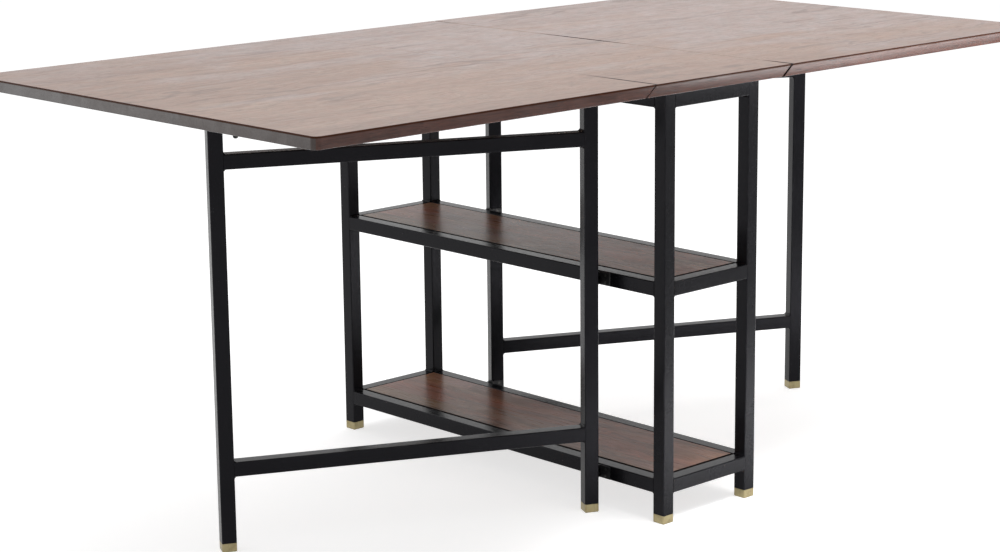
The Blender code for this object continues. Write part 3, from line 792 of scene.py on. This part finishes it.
def peg_rubber():
    """Matt moulded rubber with a fine grain and a dusty bloom."""
    finish, tree, shader, place = new_finish("black_peg_rubber")
    grain = speckle(tree, place, 2200.0, 2.0)
    bloom = speckle(tree, place, 260.0, 3.0)
    colour = tint(tree, between(tree, bloom, 0.4, 0.7, 0.0, 1.0), RUBBER_BLACK, RUBBER_BLOOM)
    lay_finish(tree, shader, colour, between(tree, bloom, 0.3, 0.7, 0.60, 0.78), grain, 0.25, 0.0002)
    return finish


rubber = peg_rubber()
for side in ("left", "right"):
    node = f"{side}_leaf_buffer"
    add_piece(f"{node}_peg", ease_copy(node, PEG_EASE), [rubber], f"{side}_leaf_body", "rubber", node)

# Screws: cross-recess steel screws, blackened like the hinges and bare in the recess. Countersunk
# heads hold the hinge plates; pan heads hold the top to its rails and the shelves to their ledges.
# A kind of screw is given by the width and the height of its head.
GATE_HINGE_SCREW = (0.007, 0.002)
LEAF_HINGE_SCREW = (0.0062, 0.0016)
TOP_SCREW = (0.009, 0.0034)
SHELF_SCREW = (0.008, 0.0030)
SCREW_PROUD = 0.0002
PLATE_OFF_PIN = 0.005
GATE_SCREW_RISE = 0.006
FRAME_SCREW_REACH = 0.0205
GATE_SCREW_REACH = 0.0190
LEAF_PLATE = 0.0018
LEAF_SCREW_PITCH = 0.018
FIXED_SCREWS_FROM_TIP = (0.0057, 0.0057, 0.0057)
LEAF_SCREWS_FROM_TIP = (0.0120, 0.0065, 0.0120)
TOP_SCREW_PITCH = 0.27
SHELF_SCREW_PITCH = 0.3
SHELF_SCREW_INSET = 0.0035
SCREW_BLACK = (0.030, 0.029, 0.029, 1)
SCREW_GREY = (0.065, 0.063, 0.060, 1)
SCREW_BARE = (0.24, 0.235, 0.225, 1)


def screw_steel():
    """Blackened screw heads: bare metal where the driver has worn the recess, dull elsewhere."""
    finish, tree, shader, place = new_finish("blackened_screw_steel")
    clouds = speckle(tree, place, 700.0, 3.0, 0.6)
    bare = sum_of(tree, "MULTIPLY", arris_of(tree), between(tree, clouds, 0.35, 0.65, 0.35, 0.9))
    colour = tint(tree, bare, cloudy(tree, clouds, SCREW_BLACK, SCREW_GREY), SCREW_BARE)
    lay_finish(tree, shader, colour, between(tree, clouds, 0.3, 0.7, 0.30, 0.48), clouds, 0.12, 0.0001)
    shader.inputs["Metallic"].default_value = 0.9
    return finish


def screw_tree(finish):
    """Sets one screw head on each point, each turned as the driver left it."""
    numbers = {"Dome": 0.10, "Recess Length": 1.15, "Recess Width": 0.24, "Recess Depth": 0.45,
               "Spin Seed": 7}
    tree, given = new_tree("screw_heads", "Spots", "Heads", numbers)
    disc = add_node(tree, "GeometryNodeMeshCylinder", {
        "Vertices": 24, "Fill Segments": 3, "Radius": 1.0, "Depth": 1.0})
    at = axes_of(tree, add_node(tree, "GeometryNodeInputPosition").outputs[0])
    out = sum_of(tree, "ADD", sum_of(tree, "MULTIPLY", at["X"], at["X"]),
                 sum_of(tree, "MULTIPLY", at["Y"], at["Y"]))
    rise = sum_of(tree, "MULTIPLY", sum_of(tree, "SUBTRACT", 1.0, out), given["Dome"])
    lift = add_node(tree, "ShaderNodeCombineXYZ", {"Z": sum_of(tree, "SUBTRACT", rise, 0.5)})
    head = add_node(tree, "GeometryNodeSetPosition", {
        "Geometry": disc.outputs["Mesh"], "Offset": lift.outputs[0]})
    deep = sum_of(tree, "MULTIPLY", given["Recess Depth"], 2.0)
    above = add_node(tree, "ShaderNodeCombineXYZ", {"Z": given["Dome"]})
    cross = add_node(tree, "GeometryNodeMeshBoolean", {"Mesh 1": head.outputs["Geometry"]},
                     operation="DIFFERENCE")
    for x, y in (("Recess Length", "Recess Width"), ("Recess Width", "Recess Length")):
        size = add_node(tree, "ShaderNodeCombineXYZ", {"X": given[x], "Y": given[y], "Z": deep})
        bit = add_node(tree, "GeometryNodeMeshCube", {"Size": size.outputs[0]})
        driven = add_node(tree, "GeometryNodeSetPosition", {
            "Geometry": bit.outputs["Mesh"], "Offset": above.outputs[0]})
        tree.links.new(driven.outputs["Geometry"], cross.inputs["Mesh 2"])
    worn = add_node(tree, "FunctionNodeCompare", {0: out, 1: 0.40}, data_type="FLOAT",
                    operation="LESS_THAN")
    marks = {"Geometry": cross.outputs["Mesh"], "Name": "arris", "Value": worn.outputs[0]}
    marked = add_node(tree, "GeometryNodeStoreNamedAttribute", marks, data_type="FLOAT", domain="POINT")
    spins = {2: 0.0, 3: math.tau, "Seed": given["Spin Seed"]}
    spin = add_node(tree, "FunctionNodeRandomValue", spins, data_type="FLOAT").outputs[1]
    driver = add_node(tree, "FunctionNodeAxisAngleToRotation", {"Axis": (0, 0, 1), "Angle": spin})
    turn = add_node(tree, "FunctionNodeEulerToRotation", {"Euler": told(tree, "lie")})
    turns = {"Rotation": turn.outputs["Rotation"], "Rotate By": driver.outputs["Rotation"]}
    set_in = add_node(tree, "FunctionNodeRotateRotation", turns, rotation_space="LOCAL")
    lay_copies(tree, given["Spots"], marked.outputs["Geometry"], set_in.outputs["Rotation"], finish,
               "Heads")
    return tree


def screw(place, outward, kind):
    """Where a screw head sits: its place, the way it faces and its size."""
    width, height = kind
    return place, outward.to_track_quat("Z", "Y").to_euler(), (width / 2, width / 2, height)


screw_heads = screw_tree(screw_steel())
countersunk = {"frame": [], "left_gate": [], "right_gate": [], "left_leaf_body": [], "right_leaf_body": []}
for side in ("left", "right"):
    facing = 1 if side == "left" else -1
    for level in ("upper", "lower"):
        low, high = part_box(f"{side}_gate_{level}_hinge_frame_half")
        pin_low, pin_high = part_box(f"{side}_gate_{level}_hinge_pin")
        pin = (pin_low + pin_high) / 2
        height = (low.z + high.z) / 2
        middles, outward = gates[side]
        plate_out = UP.cross(outward)
        if plate_out.dot(pin - middles["hinge_post"]) < 0:
            plate_out = -plate_out
        sunk = PLATE_OFF_PIN - SCREW_PROUD
        for rise in (-GATE_SCREW_RISE, GATE_SCREW_RISE):
            place = Vector((pin.x + facing * sunk, pin.y - facing * FRAME_SCREW_REACH, height + rise))
            countersunk["frame"].append(screw(place, Vector((-facing, 0, 0)), GATE_HINGE_SCREW))
            place = Vector((pin.x, pin.y, height + rise)) + outward * GATE_SCREW_REACH - plate_out * sunk
            countersunk[f"{side}_gate"].append(screw(place, plate_out, GATE_HINGE_SCREW))
    for end in ("pivot_end", "leg_end"):
        for half, body, from_tip in (("fixed_half", "frame", FIXED_SCREWS_FROM_TIP),
                                     ("leaf_half", f"{side}_leaf_body", LEAF_SCREWS_FROM_TIP)):
            low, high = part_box(f"{side}_leaf_hinge_{end}_{half}")
            into = facing if half == "fixed_half" else -facing
            tip = high.x if into > 0 else low.x
            for n, inset in enumerate(from_tip):
                y = (low.y + high.y) / 2 + (n - 1) * LEAF_SCREW_PITCH
                place = Vector((tip - into * inset, y, high.z - LEAF_PLATE - SCREW_PROUD))
                countersunk[body].append(screw(place, -UP, LEAF_HINGE_SCREW))
for body, heads in countersunk.items():
    lay_on_points(f"{body}_countersunk_screws", screw_heads, heads, {"Dome": 0.06}, body, "hinge_steel")
pan_heads = []
for side in ("left", "right", "front", "back"):
    low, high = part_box(f"top_rail_{side}")
    middle = (low + high) / 2
    for n in ((-1, 0, 1) if side in ("left", "right") else (0,)):
        place = Vector((middle.x, middle.y + n * TOP_SCREW_PITCH, low.z))
        pan_heads.append(screw(place, -UP, TOP_SCREW))
for shelf in ("upper", "lower"):
    board_low, board_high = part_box(f"{shelf}_shelf")
    ledge_underside = board_low.z - LEDGE_CLEAR - LEDGE_THICKNESS
    for x in (board_low.x + SHELF_SCREW_INSET, board_high.x - SHELF_SCREW_INSET):
        for n in (-1, 0, 1):
            place = Vector((x, n * SHELF_SCREW_PITCH, ledge_underside))
            pan_heads.append(screw(place, -UP, SHELF_SCREW))
lay_on_points("frame_pan_head_screws", screw_heads, pan_heads, {"Dome": 0.75}, "frame", "hinge_steel")

# Studio: a pale floor, a white surround, a soft box overhead, a low strip to the left and a thin one
# in front that light the edges of the top, a box that washes the floor in front, and a long lens.
PHOTO_WIDTH = 1000.0
FOCAL_PIXELS = 2466.92
CAMERA_PLACE = (-3.0289, -3.1361, 1.3283)
YAW, PITCH, ROLL = -0.7519, -0.2212, -0.0103
FLOOR_RADIUS = 40.0
FLOOR_PAINT = (0.65, 0.65, 0.65, 1)
FLOOR_GLOW = 0.69
SURROUND_SCATTER = 0.5
WHITE = (1, 1, 1, 1)
camera_data = bpy.data.cameras.new("studio_camera")
camera = bpy.data.objects.new("studio_camera", camera_data)
bpy.context.collection.objects.link(camera)
bpy.context.scene.camera = camera
camera_data.sensor_width = 36.0
camera_data.lens = camera_data.sensor_width * FOCAL_PIXELS / PHOTO_WIDTH
forward = Vector((-math.sin(YAW) * math.cos(PITCH), math.cos(YAW) * math.cos(PITCH), math.sin(PITCH)))
level_right = Vector((math.cos(YAW), math.sin(YAW), 0.0))
level_up = level_right.cross(forward)
right = level_right * math.cos(ROLL) + level_up * math.sin(ROLL)
above = level_up * math.cos(ROLL) - level_right * math.sin(ROLL)
camera.matrix_world = (Matrix.Translation(CAMERA_PLACE)
                       @ Matrix((right, above, -forward)).transposed().to_4x4())


def seen_ray(tree):
    """1 for light that is seen straight, mirrored or through something, 0 for what is scattered."""
    ray = add_node(tree, "ShaderNodeLightPath").outputs
    mirrored = sum_of(tree, "MAXIMUM", ray["Is Glossy Ray"], ray["Is Transmission Ray"])
    return sum_of(tree, "MAXIMUM", ray["Is Camera Ray"], mirrored)


bm = bmesh.new()
bmesh.ops.create_circle(bm, cap_ends=True, segments=96, radius=FLOOR_RADIUS)
floor_mesh = bpy.data.meshes.new("studio_floor")
bm.to_mesh(floor_mesh)
bm.free()
floor = bpy.data.objects.new("studio_floor", floor_mesh)
bpy.context.collection.objects.link(floor)
paint = bpy.data.materials.new("pale_floor_paint")
paint.use_nodes = True
tree = paint.node_tree
tree.nodes.clear()
glow_level = sum_of(tree, "MULTIPLY", seen_ray(tree), FLOOR_GLOW)
matt = add_node(tree, "ShaderNodeBsdfDiffuse", {"Color": FLOOR_PAINT})
glow = add_node(tree, "ShaderNodeEmission", {"Color": WHITE, "Strength": glow_level})
lit = add_node(tree, "ShaderNodeAddShader", {0: matt.outputs[0], 1: glow.outputs[0]})
clear = add_node(tree, "ShaderNodeBsdfTransparent")
back = add_node(tree, "ShaderNodeNewGeometry").outputs["Backfacing"]
sheet = add_node(tree, "ShaderNodeMixShader", {0: back, 1: lit.outputs[0], 2: clear.outputs[0]})
add_node(tree, "ShaderNodeOutputMaterial", {"Surface": sheet.outputs[0]})
floor_mesh.materials.append(paint)

world = bpy.data.worlds.new("white_studio")
bpy.context.scene.world = world
world.use_nodes = True
tree = world.node_tree
tree.nodes.clear()
level = between(tree, seen_ray(tree), 0.0, 1.0, SURROUND_SCATTER, 1.0)
surround = add_node(tree, "ShaderNodeBackground", {"Color": WHITE, "Strength": level})
add_node(tree, "ShaderNodeOutputWorld", {"Surface": surround.outputs[0]})


def add_soft_box(name, place, aim, width, height, power, spread=math.pi, shape="RECTANGLE"):
    """A studio lamp, square or rounded, unseen by the camera."""
    lamp = bpy.data.lights.new(name, "AREA")
    lamp.shape = shape
    lamp.size = width
    lamp.size_y = height
    lamp.energy = power
    lamp.spread = spread
    box = bpy.data.objects.new(name, lamp)
    box.visible_camera = False
    turn = (Vector(aim) - Vector(place)).to_track_quat("-Z", "Y")
    box.matrix_world = Matrix.Translation(place) @ turn.to_matrix().to_4x4()
    bpy.context.collection.objects.link(box)


add_soft_box("overhead_soft_box", (0.9, 0.5, 3.5), (0.1, 0.0, 0.0), 3.2, 3.2, 80.0)
add_soft_box("left_strip", (-2.2, 1.9, 0.55), (-0.6, 0.0, 0.60), 1.9, 0.5, 3.4)
add_soft_box("front_strip", (0.77, -0.78, 0.712), (0.77, -0.455, 0.730), 1.3, 0.07, 1.7,
             math.radians(130), "ELLIPSE")
add_soft_box("floor_soft_box", (0.45, -0.82, 0.62), (0.45, -0.82, 0.0), 1.4, 0.48, 11.0,
             math.radians(72))

bpy.context.scene.view_settings.view_transform = "Standard"
